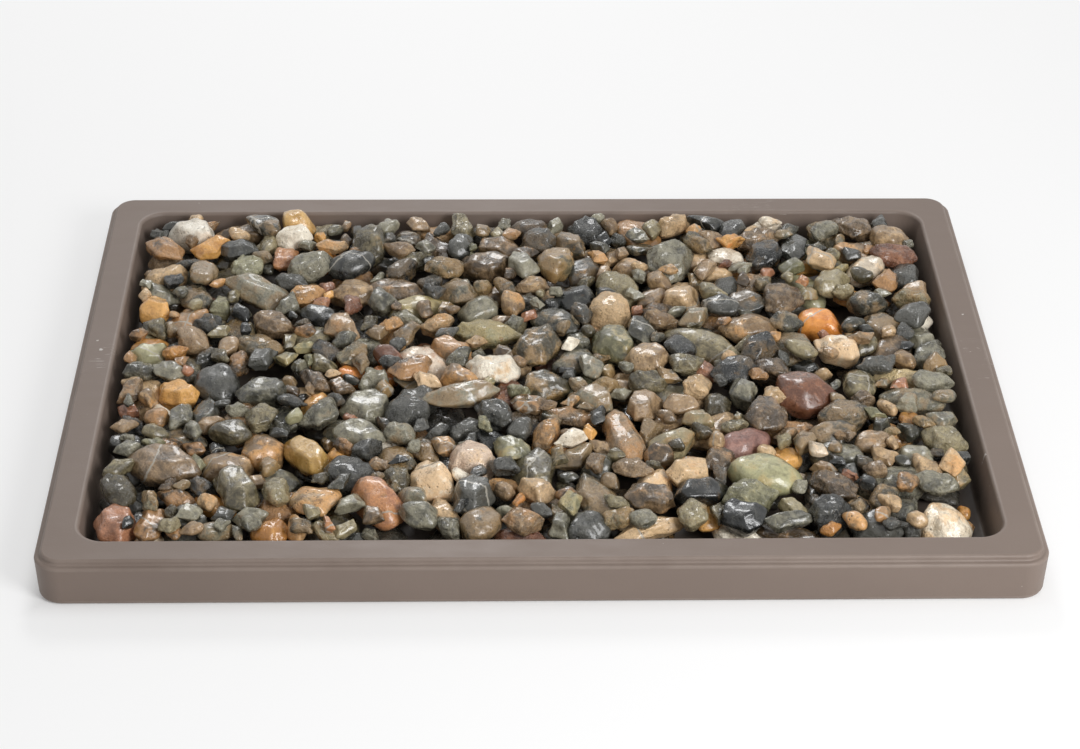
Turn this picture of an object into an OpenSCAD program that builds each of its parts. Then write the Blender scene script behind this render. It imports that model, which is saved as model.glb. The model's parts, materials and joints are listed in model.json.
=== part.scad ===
// Pebble humidity tray: a shallow moulded tray with a stepped rim, filled level with loose river pebbles.
// Millimetres. The foot stands on z = 0, the origin is under the middle, the long side lies along X.

/* [Tray] */
// Outer length along X
tray_w = 330; // [280:1:380]
// Outer width along Y
tray_d = 240; // [200:1:280]
// Height from the foot to the top of the rim
tray_h = 17; // [15:0.5:24]
// Wall thickness of the moulding
wall_t = 2; // [1.6:0.1:2.4]
// Width of the rim, from the outer face to the opening
rim_w = 13.2; // [11:0.1:18]
// Width of the low ledge outside the rim
ledge_w = 2; // [1.4:0.1:3]
// Drop from the rim down to the ledge
step_h = 2; // [1.4:0.1:2.6]
// Outer corner radius
corner_r = 9; // [7:0.5:12]
// Corner radius of the opening
opening_r = 9; // [7:0.5:12]
// Lean of the basin walls in degrees
basin_draft = 10; // [5:1:14]
// Lean of the outer skirt in degrees
skirt_draft = 2; // [0:0.5:4]
// Rounding of the two outer edges
edge_r = 0.7; // [0.4:0.1:1]
// Rounding of the lip of the opening
lip_r = 1.2; // [0.6:0.1:2]
// Fillet between basin wall and floor
floor_r = 1.5; // [1:0.1:2.5]

/* [Pebbles] */
// Mean length of a poured pebble
pebble_l = 15.5; // [13:0.5:18]
// Spacing of the pour in plan
pour_pitch = 12.4; // [11.6:0.1:16]
// Height that pebbles may stand above the rim
heap = 5; // [3:0.5:7]
// Clearance kept between neighbours
pebble_gap = 0.12; // [0.1:0.01:0.3]
// Pattern of the pour
pour_seed = 15; // [1:1:50]

/* [Hidden] */

arc_steps = 5;
sweep_fn = 48;
ledge_z = tray_h - step_h;
cove_r = edge_r / 2;
ring_w = ledge_w + edge_r + wall_t;
half_w = tray_w / 2;
half_d = tray_d / 2;
basin_x = half_w - rim_w - opening_r;
basin_y = half_d - rim_w - opening_r;
lip_x = opening_r + lip_r;
ring_out = lip_x + wall_t;
deck_r = corner_r - ledge_w - edge_r;
skirt_lean = ledge_z * tan(skirt_draft);
// Plan limits for the pebbles, which stay inside the floor fillet
floor_inset = (tray_h - wall_t) * tan(basin_draft) + floor_r;
bed_x = half_w - rim_w - floor_inset;
bed_y = half_d - rim_w - floor_inset;
bed_r = max(opening_r - floor_inset, 0);

tray_c = "#857a73";
slate_c = "#6d7276";
charcoal_c = "#3a3b3d";
olive_c = "#77756a";
umber_c = "#7d6c5b";
sandstone_c = "#a98d6b";
amber_c = "#c88a3c";
russet_c = "#94583a";
quartz_c = "#ddd3c3";
sage_c = "#9a9f86";
lower_c = "#55534f";

// Sections of the moulding

function arc(centre, r, from, to) = [for (i = [0 : arc_steps])
    let (a = from + (to - from) * i / arc_steps) centre + r * [cos(a), sin(a)]];

// Inner face of the basin wall: distance from the corner axis at height z
function wall_x(z) = lip_x - lip_r * cos(basin_draft)
    - (tray_h - lip_r + lip_r * sin(basin_draft) - z) * tan(basin_draft);

// Skirt, ledge and step, measured from the outer corner axis
function skirt_section() = concat(
    [[corner_r - wall_t - skirt_lean, 0], [corner_r - skirt_lean, 0]],
    arc([corner_r - edge_r, ledge_z - edge_r], edge_r, 0, 90),
    arc([corner_r - ledge_w + cove_r, ledge_z + cove_r], cove_r, 270, 180),
    arc([corner_r - ledge_w - edge_r, tray_h - edge_r], edge_r, 0, 90),
    [[corner_r - ring_w, tray_h], [corner_r - ring_w, tray_h - wall_t],
     [corner_r - ledge_w - wall_t, tray_h - wall_t],
     [corner_r - ledge_w - wall_t, ledge_z - wall_t],
     [corner_r - wall_t, ledge_z - wall_t]]);

// Lip, basin wall and floor, measured from the corner axis of the opening
function basin_section() =
    let (foot_z = wall_t + floor_r, skin = wall_t / cos(basin_draft),
         foot_x = wall_x(foot_z) - floor_r / cos(basin_draft))
    concat([[ring_out, tray_h]],
        arc([lip_x, tray_h - lip_r], lip_r, 90, 180 - basin_draft),
        arc([foot_x, foot_z], floor_r, -basin_draft, -90),
        [[0, wall_t], [0, 0], [wall_x(0) + skin, 0],
         [wall_x(tray_h - wall_t) + skin, tray_h - wall_t], [ring_out, tray_h - wall_t]]);

// Sweeps a section round a rectangle whose corner axes lie at (x, y)
module sweep_round(x, y) {
    for (q = [0 : 3]) {
        along = q % 2 == 0 ? y : x;
        away = q % 2 == 0 ? x : y;
        rotate([0, 0, 90 * q]) {
            translate([away, along, 0]) rotate_extrude(angle = 90, $fn = sweep_fn) children();
            translate([away, along, 0]) rotate([90, 0, 0]) linear_extrude(2 * along) children();
        }
    }
}

// Plate with round corners whose axes lie at (x, y)
module round_plate(x, y, r, z, t) {
    translate([-x - r, -y, z]) cube([2 * (x + r), 2 * y, t]);
    translate([-x, -y - r, z]) cube([2 * x, 2 * (y + r), t]);
    for (sx = [-x, x], sy = [-y, y]) translate([sx, sy, z]) cylinder(r = r, h = t, $fn = sweep_fn);
}

// Shapes of the pebbles
// A turned pebble is [points, face normals, face offsets, reach in plan, sides].
// A placed one is [centre, points, upward faces, reach, owner, sides, kept clear above].

function unit(v) = v / norm(v);
function clamp(v, lo, hi) = min(max(v, lo), hi);

function turn(yaw, lean, roll) =
    let (cy = cos(yaw), sy = sin(yaw), cl = cos(lean), sl = sin(lean), cr = cos(roll), sr = sin(roll))
    [[cy * cl, sy * cl, -sl],
     [cy * sl * sr - sy * cr, sy * sl * sr + cy * cr, cl * sr],
     [cy * sl * cr + sy * sr, sy * sl * cr - cy * sr, cl * cr]];

// Egg shaped outline with n corners at uneven angles
function outline(l, w, n, u) = [for (k = [0 : n - 1])
    let (a = 360 * (k + 0.6 * (u[9 + k] - 0.5)) / n, f = 1 + 0.18 * u[0] * cos(a - 360 * u[1]))
    [l / 2 * f * cos(a), w / 2 * f * sin(a)]];

// Three parallel rings of one outline make a faceted pebble that has flat faces only
function rings(l, w, t, n, u) =
    let (o = outline(l, w, n, u), mid = 0.3 * (u[2] - 0.5) * t,
         low = 0.5 + 0.2 * u[3], low_at = [(u[4] - 0.5) * 0.2 * l, (u[5] - 0.5) * 0.2 * w],
         top = 0.5 + 0.2 * u[6], top_at = [(u[7] - 0.5) * 0.2 * l, (u[8] - 0.5) * 0.2 * w])
    concat([for (p = o) [p.x * low + low_at.x, p.y * low + low_at.y, -t / 2]],
        [for (p = o) [p.x, p.y, mid]],
        [for (p = o) [p.x * top + top_at.x, p.y * top + top_at.y, t / 2]]);

function side_normals(p, n) = [for (r = [0 : 1], k = [0 : n - 1])
    let (a = r * n + k, b = r * n + (k + 1) % n, c = a + n) unit(cross(p[b] - p[a], p[c] - p[a]))];

function turned(l, w, t, n, yaw, lean, roll, u) =
    let (p0 = rings(l, w, t, n, u), m = turn(yaw, lean, roll), p = p0 * m,
         f = concat(side_normals(p0, n), [[0, 0, -1], [0, 0, 1]]) * m)
    [p, f, [for (v = f) max(p * v)], max([for (v = p) norm([v.x, v.y])]), n];

// Height at which pebble a, let down over plan point at, comes to rest on the placed pebble b.
// Each direction that can part the two gives a bound, and the lowest bound holds.
function rest_on(a, at, b) =
    let (away = at - [b[0].x, b[0].y], far = norm(away))
    far >= a[3] + b[3] + pebble_gap ? -1 :
    let (side = far > 0 ? away / far : [1, 0], at3 = [at.x, at.y, 0], level = [side.x, side.y, 0],
         room = max([for (s = abreast) let (d = [side.x * s.x - side.y * s.y, side.x * s.y + side.y * s.x, 0])
             min(a[0] * d) + at3 * d - max(b[1] * d)]))
    room >= pebble_gap ? -1 : b[6] ? out_of_reach :
    min(concat(
        [for (f = b[2]) if (f[0] * level > -facing)
            let (s = f[1] + pebble_gap - min(a[0] * f[0]) - at3 * f[0])
            f[0].z > steep ? s / f[0].z : s <= 0 ? -1 : out_of_reach],
        [for (i = [0 : len(a[1]) - 1]) let (m = a[1][i])
            if (m.z < -steep && m * level < facing) (a[2][i] + m * at3 + pebble_gap - min(b[1] * m)) / -m.z],
        [for (s = slants) let (d = [side.x * s.x - side.y * s.y, side.x * s.y + side.y * s.x, s.z])
            (max(b[1] * d) + pebble_gap * norm(d) - min(a[0] * d) - at3 * d) / d.z]));

// Level and slanted directions to test, in the frame of the line between the two centres
abreast = [for (turn_by = [-50, -25, 0, 25, 50]) [cos(turn_by), sin(turn_by)]];
slants = [for (turn_by = [-40, 0, 40], rise = [0.35, 0.9, 2]) [cos(turn_by), sin(turn_by), rise]];
// Faces that look away from the other pebble by more than this are left out
facing = 0.25;
steep = 0.05;
out_of_reach = 9 * tray_h;
// A first spot this far over the limit is not tried any further
hopeless = 3;

function land(a, at, near) = max(concat(
    [wall_t + pebble_gap - min(a[0] * [0, 0, 1])], [for (b = near) rest_on(a, at, b)]));

// Moves a plan point so that the pebble stays off the basin walls and out of the round corners
function keep_in(a, at) =
    let (right = max(a[0] * [1, 0, 0]), left = max(a[0] * [-1, 0, 0]),
         back = max(a[0] * [0, 1, 0]), front = max(a[0] * [0, -1, 0]),
         p = [clamp(at.x, left - bed_x, bed_x - right), clamp(at.y, front - bed_y, bed_y - back)],
         d = [p.x < 0 ? -1 : 1, p.y < 0 ? -1 : 1] / sqrt(2),
         over = p * d + max(a[0] * [d.x, d.y, 0]) - (bed_x + bed_y - 2 * bed_r) / sqrt(2) - bed_r)
    over > 0 ? p - over * d : p;

function placed(a, at, z, owner, clear) =
    let (c = [at.x, at.y, z])
    [c, [for (v = a[0]) v + c], [for (i = [0 : len(a[1]) - 1])
        if (a[1][i].z > -0.001) [a[1][i], a[2][i] + a[1][i] * c]], a[3], owner, a[4], clear];

// A job is [plan point, length, breadth, thickness, sides, heading, tilt, wander, top limit,
// owner, seed, kept clear above]. The pebble takes the lowest of five spots, if its top keeps the limit.
function drop(j, bed) =
    let (u = rands(0, 1, 24, pour_seed * 7919 + j[10]),
         a = turned(j[1], j[2], j[3], j[4], j[5],
             j[6] * (u[16] + u[17] + u[18] - 1.5), j[6] * (u[19] + u[20] + u[21] - 1.5), u),
         middle = [j[0].x, j[0].y, tray_h / 2], span = a[3] + 2 * j[7] + tray_h / 4,
         near = [for (b = bed) if (norm(b[0] - middle) < b[3] + span) b],
         crown = max(a[0] * [0, 0, 1]), at0 = keep_in(a, j[0]), z0 = land(a, at0, near))
    z0 + crown > j[8] + hopeless ? [] :
    let (tries = concat([[z0, at0]], [for (k = [1 : 4]) let (at = keep_in(a, j[0]
             + j[7] * [cos(90 * (k + u[22])), sin(90 * (k + u[22]))])) [land(a, at, near), at]]),
         z = min([for (t = tries) t[0]]), at = [for (t = tries) if (t[0] == z) t[1]][0])
    z + crown > j[8] ? [] : [placed(a, at, z, j[9], j[11])];

function drop_all(jobs) = [for (i = 0, bed = []; i <= len(jobs);
    bed = i < len(jobs) ? concat(bed, drop(jobs[i], bed)) : bed, i = i + 1)
    if (i == len(jobs)) bed][0];

// Groups: the common kinds are split in six zones, the others in two
function row_of(at) = at.y < 0 ? "front" : "back";
function third_of(at) = at.x < -bed_x / 3 ? "left" : at.x > bed_x / 3 ? "right" : "middle";
function zone_of(at) = str(row_of(at), "_", third_of(at));
common_kinds = ["slate", "charcoal", "olive", "umber"];
function is_common(kind) = len([for (k = common_kinds) if (k == kind) k]) > 0;
function group_of(kind, at) =
    str(kind, "_pebbles_", is_common(kind) ? zone_of(at) : at.x < 0 ? "left" : "right");

// Running total of the kinds among the poured pebbles, in percent
kind_shares = [["slate", 25], ["charcoal", 42], ["olive", 58], ["umber", 77], ["sandstone", 88],
    ["amber", 91], ["russet", 95], ["quartz", 97], ["sage", 100]];
function kind_at(percent) = [for (s = kind_shares) if (percent <= s[1]) s[0]][0];

// Lower pebbles: bedding of larger pebbles on the basin floor, one layer or more
lower_t = 6.5;
lower_size = 1.5;
lower_layers = max(1, round((tray_h - wall_t - 8) / lower_t));
lower_pitch = pour_pitch * 1.13 * lower_size;
lower_cols = floor(2 * bed_x / lower_pitch);
lower_rows = floor(2 * bed_y / lower_pitch);
lower_jobs = [for (layer = [0 : lower_layers - 1], r = [0 : lower_rows - 1], c = [0 : lower_cols - 1])
    let (id = (layer * lower_rows + r) * lower_cols + c, v = rands(0, 1, 7, pour_seed + 31 * id),
         l = pebble_l * lower_size * (0.85 + 0.25 * v[0]), w = l * (0.66 + 0.24 * v[1]),
         t = lower_t * (0.78 + 0.22 * v[2]),
         at = [(c - (lower_cols - 1) / 2 + 0.5 * (v[3] - 0.5)) * 2 * bed_x / lower_cols,
               (r - (lower_rows - 1) / 2 + 0.5 * (v[4] - 0.5)) * 2 * bed_y / lower_rows])
    [at, l, w, t, 4, 360 * v[5], 8, 1.5, tray_h - lower_t + 3 * v[6],
     str("lower_pebbles_", zone_of(at)), id, false]];

// Pebbles laid by hand: [x, y, length, breadth, heading, kind], for a tray of layout_w by layout_d
layout_w = 330;
layout_d = 240;
laid = [
    // Back left
    [-111, 97, 22, 11, 0, "umber"], [-130, 79, 16, 12, 20, "slate"], [-142, 77, 14, 11, -10, "umber"],
    [-141, 58, 18, 12, 30, "sandstone"], [-123, 55, 18, 9, -50, "russet"], [-112, 73, 26, 7, 12, "olive"],
    [-104, 49, 32, 14, -25, "slate"], [-93, 89, 14, 11, 10, "quartz"], [-83, 76, 13, 11, 0, "amber"],
    [-75, 90, 18, 10, 10, "charcoal"], [-71, 69, 20, 15, 15, "umber"], [-58, 86, 9, 7, 0, "quartz"],
    [-62, 98, 18, 8, 5, "olive"], [-52, 74, 18, 11, 15, "charcoal"], [-39, 96, 16, 12, -20, "sandstone"],
    [-52, 57, 22, 14, 0, "umber"], [-42, 43, 26, 14, 20, "sage"], [-16, 67, 22, 16, 15, "umber"],
    [-144, 28, 16, 12, 80, "olive"], [-126, 19, 19, 8, 35, "sandstone"], [-101, 14, 16, 14, 0, "olive"],
    [-89, 26, 16, 11, 80, "russet"], [-88, 45, 14, 10, 10, "sandstone"], [-62, 15, 15, 12, -15, "slate"],
    [-53, 23, 16, 12, -50, "sandstone"], [-41, 26, 10, 7, 0, "russet"], [-22, 21, 26, 12, -15, "sage"],
    // Back right
    [2, 14, 16, 10, -60, "russet"], [12, 93, 18, 13, 20, "sandstone"], [20, 80, 24, 11, 35, "sandstone"],
    [64, 98, 16, 10, 20, "olive"], [61, 86, 22, 14, -35, "sandstone"], [90, 98, 14, 9, 10, "quartz"],
    [34, 68, 13, 11, 0, "sandstone"], [57, 57, 18, 12, 50, "sandstone"], [21, 65, 18, 12, 60, "charcoal"],
    [84, 79, 16, 12, -10, "umber"], [77, 69, 22, 8, -45, "sandstone"], [132, 98, 9, 8, 20, "quartz"],
    [143, 90, 18, 14, -20, "sandstone"], [107, 78, 22, 9, 15, "amber"], [121, 80, 20, 12, -10, "sandstone"],
    [129, 67, 18, 14, 60, "quartz"], [125, 53, 20, 9, -10, "amber"], [145, 38, 12, 12, 0, "quartz"],
    [122, 29, 18, 15, 20, "charcoal"], [91, 13, 20, 15, -20, "slate"], [8, 30, 22, 13, -40, "slate"],
    [28, 11, 24, 16, -80, "sage"], [39, 24, 14, 11, -30, "quartz"], [67, 33, 18, 10, -10, "umber"],
    // Front left
    [-68, -2, 11, 10, 0, "amber"], [-57, -3, 12, 9, -10, "amber"], [-18, -6, 15, 13, 0, "quartz"],
    [-8, 1, 12, 10, 20, "sandstone"], [-85, -12, 19, 9, 20, "sandstone"], [-70, -14, 22, 9, -35, "slate"],
    [-145, -44, 14, 14, 40, "charcoal"], [-122, -45, 20, 11, -15, "slate"], [-126, -63, 28, 16, -10, "umber"],
    [-105, -63, 20, 15, -20, "sandstone"], [-101, -32, 24, 14, 80, "umber"], [-79, -22, 16, 10, 60, "amber"],
    [-71, -39, 20, 12, -60, "slate"], [-65, -52, 13, 12, 0, "amber"], [-55, -45, 14, 10, 0, "quartz"],
    [-46, -24, 20, 13, 10, "charcoal"], [-29, -24, 26, 11, 10, "slate"], [-15, -43, 13, 12, 0, "charcoal"],
    [-142, -77, 15, 10, -10, "charcoal"], [-133, -97, 13, 11, 60, "quartz"], [-120, -93, 17, 16, 0, "slate"],
    [-111, -82, 16, 10, -20, "amber"], [-91, -97, 13, 11, 20, "amber"], [-88, -85, 22, 12, 30, "umber"],
    [-53, -87, 24, 15, -55, "russet"], [-34, -90, 18, 11, -60, "sandstone"], [-11, -99, 18, 11, -5, "russet"],
    // Front right
    [18, -1, 13, 9, -45, "sage"], [15, -13, 13, 12, 20, "sage"], [48, -12, 20, 10, -5, "slate"],
    [57, -1, 18, 11, -60, "russet"], [69, -5, 16, 13, 0, "charcoal"], [93, -23, 24, 17, -20, "russet"],
    [117, -14, 20, 13, 80, "olive"], [131, -22, 24, 12, -15, "slate"], [11, -29, 26, 9, -12, "umber"],
    [28, -42, 34, 13, -80, "umber"], [13, -48, 16, 8, 10, "amber"], [49, -31, 30, 10, 40, "sandstone"],
    [82, -53, 13, 13, 0, "amber"], [86, -41, 20, 11, -10, "umber"], [144, -54, 16, 8, 30, "russet"],
    [20, -80, 32, 14, -60, "slate"], [17, -97, 16, 12, 20, "charcoal"], [36, -74, 20, 12, 65, "quartz"],
    [38, -95, 26, 10, 25, "sandstone"], [67, -97, 20, 13, -15, "quartz"], [57, -90, 11, 10, 60, "amber"],
    [80, -93, 24, 9, -15, "umber"], [105, -78, 18, 11, -65, "quartz"], [94, -85, 13, 10, -20, "charcoal"],
    [112, -93, 20, 14, -20, "charcoal"], [126, -91, 14, 9, 80, "charcoal"]];

// Pebbles with a name of their own: [x, y, length, breadth, thickness, heading, name, kept clear above]
single = [
    [134.5, -92, 17.5, 16.5, 12, 0, "cream_quartz_front_right", true],
    [104, 31, 18, 15, 11, -20, "orange_pebble_right", true],
    [-80, -57, 24, 12, 10, -60, "golden_block_left", true],
    [-42, 3, 24, 17, 12, -30, "cream_quartz_middle_left", false],
    [61, 15, 34, 14, 9, -30, "long_olive_pebble", false],
    [118, -69, 24, 18, 12, 0, "banded_slate_front_right", false],
    [139, -6, 28, 12, 8, -5, "yellow_sandstone_right", false],
    [76, -68, 25, 19, 11, -10, "pale_green_pebble_front", false],
    [-131, 93, 21, 14, 12, -20, "white_wedge_back_left", false],
    [-90, 100, 13, 11, 13, 10, "upright_amber_back_left", false],
    [-24, -59, 17, 16, 11, 0, "rose_quartz_front", false],
    [68, -49, 22, 13, 9, 30, "maroon_pebble_front_right", false]];

function at_layout(p) = [p[0] * tray_w / layout_w, p[1] * tray_d / layout_d];
single_jobs = [for (i = [0 : len(single) - 1]) let (p = single[i])
    [at_layout(p), p[2], p[3], p[4], 7, p[5], 7, 1, out_of_reach, p[6], 2000 + i, p[7]]];
laid_jobs = [for (i = [0 : len(laid) - 1])
    let (p = laid[i], at = at_layout(p), v = rands(0, 1, 1, pour_seed + 31 * i))
    [at, p[2], p[3], p[3] * (0.55 + 0.2 * v[0]), 6, p[4], 10, 2.5, tray_h + heap + 1.5,
     group_of(p[5], at), 3000 + i, false]];

// Pour: passes over the bed, each of smaller pebbles: [size, share of the heap, pitch, sides]
pour_passes = [[1.18, 1, 1, 6], [1.04, 0.9, 1, 5], [0.86, 0.8, 0.85, 4], [0.64, 0.7, 0.8, 4],
    [0.48, 0.55, 0.8, 4]];
function pour_over(k) =
    let (pass = pour_passes[k], pitch = pour_pitch * pass[2],
         cols = floor(2 * bed_x / pitch), rows = floor(2 * bed_y / pitch))
    [for (r = [0 : rows - 1], c = [0 : cols - 1])
        let (id = (k * rows + r) * cols + c, v = rands(0, 1, 9, 4000 + pour_seed + 17 * id),
             l = pebble_l * pass[0] * (0.78 + 0.3 * v[0] + 0.3 * v[1] * v[2]),
             w = l * (0.58 + 0.32 * v[3]), t = w * (0.45 + 0.4 * v[4]),
             at = [(c - (cols - 1) / 2 + 0.9 * (v[5] - 0.5)) * 2 * bed_x / cols,
                   (r - (rows - 1) / 2 + 0.9 * (v[6] - 0.5)) * 2 * bed_y / rows])
        [at, l, w, t, pass[3], 360 * v[7], 16, 4 * pass[2], tray_h + heap * pass[1],
         group_of(kind_at(100 * v[8]), at), 5000 + id, false]];
pour_jobs = [for (k = [0 : len(pour_passes) - 1]) each pour_over(k)];

bed = drop_all(concat(lower_jobs, single_jobs, laid_jobs, pour_jobs));

// One pebble as a closed solid of three rings
module pebble(b) {
    n = b[5];
    polyhedron(points = b[1], faces = concat(
        [[for (k = [0 : n - 1]) k], [for (k = [n - 1 : -1 : 0]) 2 * n + k]],
        [for (r = [0 : 1], k = [0 : n - 1])
            [r * n + k, (r + 1) * n + k, (r + 1) * n + (k + 1) % n, r * n + (k + 1) % n]]));
}

module pebbles(owner) {
    for (b = bed) if (b[4] == owner) pebble(b);
}

module tray() {
    color(tray_c) {
        sweep_round(half_w - corner_r, half_d - corner_r) polygon(skirt_section());
        sweep_round(basin_x, basin_y) polygon(basin_section());
        translate([-basin_x, -basin_y, 0]) cube([2 * basin_x, 2 * basin_y, wall_t]);
        difference() {
            round_plate(half_w - corner_r, half_d - corner_r, deck_r, tray_h - wall_t, wall_t);
            round_plate(basin_x, basin_y, ring_out, tray_h - 2 * wall_t, 3 * wall_t);
        }
    }
}

module lower_pebbles_front_left() { color(lower_c) pebbles("lower_pebbles_front_left"); }
module lower_pebbles_front_middle() { color(lower_c) pebbles("lower_pebbles_front_middle"); }
module lower_pebbles_front_right() { color(lower_c) pebbles("lower_pebbles_front_right"); }
module lower_pebbles_back_left() { color(lower_c) pebbles("lower_pebbles_back_left"); }
module lower_pebbles_back_middle() { color(lower_c) pebbles("lower_pebbles_back_middle"); }
module lower_pebbles_back_right() { color(lower_c) pebbles("lower_pebbles_back_right"); }
module slate_pebbles_front_left() { color(slate_c) pebbles("slate_pebbles_front_left"); }
module slate_pebbles_front_middle() { color(slate_c) pebbles("slate_pebbles_front_middle"); }
module slate_pebbles_front_right() { color(slate_c) pebbles("slate_pebbles_front_right"); }
module slate_pebbles_back_left() { color(slate_c) pebbles("slate_pebbles_back_left"); }
module slate_pebbles_back_middle() { color(slate_c) pebbles("slate_pebbles_back_middle"); }
module slate_pebbles_back_right() { color(slate_c) pebbles("slate_pebbles_back_right"); }
module charcoal_pebbles_front_left() { color(charcoal_c) pebbles("charcoal_pebbles_front_left"); }
module charcoal_pebbles_front_middle() { color(charcoal_c) pebbles("charcoal_pebbles_front_middle"); }
module charcoal_pebbles_front_right() { color(charcoal_c) pebbles("charcoal_pebbles_front_right"); }
module charcoal_pebbles_back_left() { color(charcoal_c) pebbles("charcoal_pebbles_back_left"); }
module charcoal_pebbles_back_middle() { color(charcoal_c) pebbles("charcoal_pebbles_back_middle"); }
module charcoal_pebbles_back_right() { color(charcoal_c) pebbles("charcoal_pebbles_back_right"); }
module olive_pebbles_front_left() { color(olive_c) pebbles("olive_pebbles_front_left"); }
module olive_pebbles_front_middle() { color(olive_c) pebbles("olive_pebbles_front_middle"); }
module olive_pebbles_front_right() { color(olive_c) pebbles("olive_pebbles_front_right"); }
module olive_pebbles_back_left() { color(olive_c) pebbles("olive_pebbles_back_left"); }
module olive_pebbles_back_middle() { color(olive_c) pebbles("olive_pebbles_back_middle"); }
module olive_pebbles_back_right() { color(olive_c) pebbles("olive_pebbles_back_right"); }
module umber_pebbles_front_left() { color(umber_c) pebbles("umber_pebbles_front_left"); }
module umber_pebbles_front_middle() { color(umber_c) pebbles("umber_pebbles_front_middle"); }
module umber_pebbles_front_right() { color(umber_c) pebbles("umber_pebbles_front_right"); }
module umber_pebbles_back_left() { color(umber_c) pebbles("umber_pebbles_back_left"); }
module umber_pebbles_back_middle() { color(umber_c) pebbles("umber_pebbles_back_middle"); }
module umber_pebbles_back_right() { color(umber_c) pebbles("umber_pebbles_back_right"); }
module sandstone_pebbles_left() { color(sandstone_c) pebbles("sandstone_pebbles_left"); }
module sandstone_pebbles_right() { color(sandstone_c) pebbles("sandstone_pebbles_right"); }
module amber_pebbles_left() { color(amber_c) pebbles("amber_pebbles_left"); }
module amber_pebbles_right() { color(amber_c) pebbles("amber_pebbles_right"); }
module russet_pebbles_left() { color(russet_c) pebbles("russet_pebbles_left"); }
module russet_pebbles_right() { color(russet_c) pebbles("russet_pebbles_right"); }
module quartz_pebbles_left() { color(quartz_c) pebbles("quartz_pebbles_left"); }
module quartz_pebbles_right() { color(quartz_c) pebbles("quartz_pebbles_right"); }
module sage_pebbles_left() { color(sage_c) pebbles("sage_pebbles_left"); }
module sage_pebbles_right() { color(sage_c) pebbles("sage_pebbles_right"); }
module cream_quartz_front_right() { color(quartz_c) pebbles("cream_quartz_front_right"); }
module orange_pebble_right() { color(amber_c) pebbles("orange_pebble_right"); }
module golden_block_left() { color(amber_c) pebbles("golden_block_left"); }
module cream_quartz_middle_left() { color(quartz_c) pebbles("cream_quartz_middle_left"); }
module long_olive_pebble() { color(olive_c) pebbles("long_olive_pebble"); }
module banded_slate_front_right() { color(slate_c) pebbles("banded_slate_front_right"); }
module yellow_sandstone_right() { color(sandstone_c) pebbles("yellow_sandstone_right"); }
module pale_green_pebble_front() { color(sage_c) pebbles("pale_green_pebble_front"); }
module white_wedge_back_left() { color(quartz_c) pebbles("white_wedge_back_left"); }
module upright_amber_back_left() { color(amber_c) pebbles("upright_amber_back_left"); }
module rose_quartz_front() { color(quartz_c) pebbles("rose_quartz_front"); }
module maroon_pebble_front_right() { color(russet_c) pebbles("maroon_pebble_front_right"); }

tray();
lower_pebbles_front_left();
lower_pebbles_front_middle();
lower_pebbles_front_right();
lower_pebbles_back_left();
lower_pebbles_back_middle();
lower_pebbles_back_right();
slate_pebbles_front_left();
slate_pebbles_front_middle();
slate_pebbles_front_right();
slate_pebbles_back_left();
slate_pebbles_back_middle();
slate_pebbles_back_right();
charcoal_pebbles_front_left();
charcoal_pebbles_front_middle();
charcoal_pebbles_front_right();
charcoal_pebbles_back_left();
charcoal_pebbles_back_middle();
charcoal_pebbles_back_right();
olive_pebbles_front_left();
olive_pebbles_front_middle();
olive_pebbles_front_right();
olive_pebbles_back_left();
olive_pebbles_back_middle();
olive_pebbles_back_right();
umber_pebbles_front_left();
umber_pebbles_front_middle();
umber_pebbles_front_right();
umber_pebbles_back_left();
umber_pebbles_back_middle();
umber_pebbles_back_right();
sandstone_pebbles_left();
sandstone_pebbles_right();
amber_pebbles_left();
amber_pebbles_right();
russet_pebbles_left();
russet_pebbles_right();
quartz_pebbles_left();
quartz_pebbles_right();
sage_pebbles_left();
sage_pebbles_right();
cream_quartz_front_right();
orange_pebble_right();
golden_block_left();
cream_quartz_middle_left();
long_olive_pebble();
banded_slate_front_right();
yellow_sandstone_right();
pale_green_pebble_front();
white_wedge_back_left();
upright_amber_back_left();
rose_quartz_front();
maroon_pebble_front_right();
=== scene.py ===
"""Looks of the pebble humidity tray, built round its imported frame.

A shallow moulded tray with a broad stepped rim holds a level bed of wet river pebbles. Each CAD pebble
is a flat-faced solid. Here it is rounded, lumped and dressed as stone, in its own place. Metres, except
where a name ends in _mm: the sections and the patterns are written in millimetres.
"""

import json
import logging
import math
from dataclasses import dataclass, field, replace
from enum import Enum
from typing import Any, Iterable, Sequence

import bmesh
import bpy
import numpy as np
from mathutils import Matrix, Vector


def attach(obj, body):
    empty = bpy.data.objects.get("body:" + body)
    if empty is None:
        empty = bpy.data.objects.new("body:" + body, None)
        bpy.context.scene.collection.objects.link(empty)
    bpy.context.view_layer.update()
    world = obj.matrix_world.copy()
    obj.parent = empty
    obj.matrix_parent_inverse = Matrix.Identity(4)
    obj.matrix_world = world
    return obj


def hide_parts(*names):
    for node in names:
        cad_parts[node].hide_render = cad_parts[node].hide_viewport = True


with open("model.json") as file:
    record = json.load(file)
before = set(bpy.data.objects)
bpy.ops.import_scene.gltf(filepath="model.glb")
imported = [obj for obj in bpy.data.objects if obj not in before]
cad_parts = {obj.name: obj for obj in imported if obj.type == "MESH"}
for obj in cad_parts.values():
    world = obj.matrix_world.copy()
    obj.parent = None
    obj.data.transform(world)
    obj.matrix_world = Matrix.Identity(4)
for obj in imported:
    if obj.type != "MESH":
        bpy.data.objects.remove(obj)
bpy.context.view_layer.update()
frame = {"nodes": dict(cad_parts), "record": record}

MM = 0.001
WHITE = (1.0, 1.0, 1.0)
# Range of the noise over which a cloudy colour turns from its one tone to the other
CLOUDY = (0.3, 0.7)
# Least distance of the dressed pebbles from the basin's floor and walls
CLEARANCE_MM = 0.05
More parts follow.
